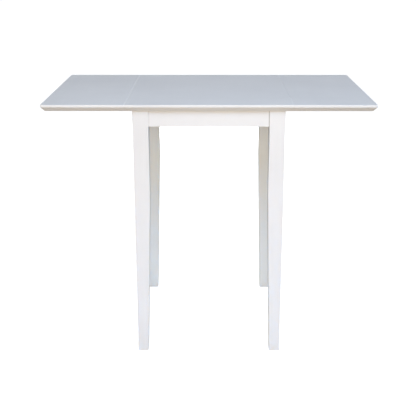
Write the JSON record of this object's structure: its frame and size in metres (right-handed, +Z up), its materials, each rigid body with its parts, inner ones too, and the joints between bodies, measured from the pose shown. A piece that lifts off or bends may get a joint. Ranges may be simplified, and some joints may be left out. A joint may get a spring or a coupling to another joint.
{
  "type": "drop leaf table",
  "caption": "Small rectangular dining table with a hinged drop leaf at each end, on square tapered legs with low aprons.",
  "frame": {"origin": "on the floor, under the middle of the open table", "axes": "+X along the open length, towards the right leaf; +Y across the depth, towards the back; +Z up. Rest pose: both leaves up"},
  "size_m": [0.9144, 0.5462, 0.743],
  "materials": {
    "painted_wood": "satin white paint",
    "bare_wood": "sanded, unpainted",
    "zinc_hardware": "zinc plated, satin",
    "zinc_fasteners": "zinc plated, bright"
  },
  "bodies": {
    "frame": {"apron_back": "painted_wood", "apron_front": "painted_wood", "apron_left": "painted_wood", "apron_right": "painted_wood", "corner_block_back_left": "bare_wood", "corner_block_back_right": "bare_wood", "corner_block_front_left": "bare_wood", "corner_block_front_right": "bare_wood", "corner_block_screws": "zinc_fasteners", "hanger_bolts": "zinc_fasteners", "hanger_nuts": "zinc_fasteners", "hanger_washers": "zinc_fasteners", "hinge_frame_plate_left_back": "zinc_hardware", "hinge_frame_plate_left_front": "zinc_hardware", "hinge_frame_plate_right_back": "zinc_hardware", "hinge_frame_plate_right_front": "zinc_hardware", "hinge_frame_screws_left": "zinc_fasteners", "hinge_frame_screws_right": "zinc_fasteners", "hinge_pin_left_back": "zinc_hardware", "hinge_pin_left_front": "zinc_hardware", "hinge_pin_right_back": "zinc_hardware", "hinge_pin_right_front": "zinc_hardware", "leg_back_left": "painted_wood", "leg_back_right": "painted_wood", "leg_front_left": "painted_wood", "leg_front_right": "painted_wood", "stay_frame_bracket_left": "zinc_hardware", "stay_frame_bracket_right": "zinc_hardware", "stay_frame_screws_left": "zinc_fasteners", "stay_frame_screws_right": "zinc_fasteners", "stay_slot_pin_left": "zinc_hardware", "stay_slot_pin_right": "zinc_hardware", "stay_slot_washer_left": "zinc_hardware", "stay_slot_washer_right": "zinc_hardware", "top_centre": "painted_wood", "top_screws": "zinc_fasteners"},
    "leaf_left": {"hinge_leaf_plate_left_back": "zinc_hardware", "hinge_leaf_plate_left_front": "zinc_hardware", "hinge_leaf_screws_left": "zinc_fasteners", "leaf_left": "painted_wood", "stay_leaf_bracket_left": "zinc_hardware", "stay_leaf_screws_left": "zinc_fasteners", "stay_pivot_rivet_left": "zinc_hardware"},
    "leaf_right": {"hinge_leaf_plate_right_back": "zinc_hardware", "hinge_leaf_plate_right_front": "zinc_hardware", "hinge_leaf_screws_right": "zinc_fasteners", "leaf_right": "painted_wood", "stay_leaf_bracket_right": "zinc_hardware", "stay_leaf_screws_right": "zinc_fasteners", "stay_pivot_rivet_right": "zinc_hardware"},
    "stay_left": {"stay_arm_left": "zinc_hardware", "stay_pivot_washer_left": "zinc_hardware"},
    "stay_right": {"stay_arm_right": "zinc_hardware", "stay_pivot_washer_right": "zinc_hardware"}
  },
  "joints": [
    {"name": "leaf_left_fold", "type": "hinge", "parent": "frame", "child": "leaf_left", "pos_m": [-0.23019, 0, 0.7204], "axis": [0, -1, 0], "range_deg": [0, 90]},
    {"name": "stay_left_turn", "type": "hinge", "parent": "leaf_left", "child": "stay_left", "pos_m": [-0.30919, 0.04, 0.7104], "axis": [0, -1, 0], "range_deg": [-45, 0]},
    {"name": "leaf_right_fold", "type": "hinge", "parent": "frame", "child": "leaf_right", "pos_m": [0.23019, 0, 0.7204], "axis": [0, 1, 0], "range_deg": [0, 90]},
    {"name": "stay_right_turn", "type": "hinge", "parent": "leaf_right", "child": "stay_right", "pos_m": [0.30919, 0.04, 0.7104], "axis": [0, 1, 0], "range_deg": [-45, 0]}
  ],
  "couplings": [
    {"joint": "stay_left_turn", "follows": "leaf_left_fold", "ratio": -0.5},
    {"joint": "stay_right_turn", "follows": "leaf_right_fold", "ratio": -0.5}
  ]
}
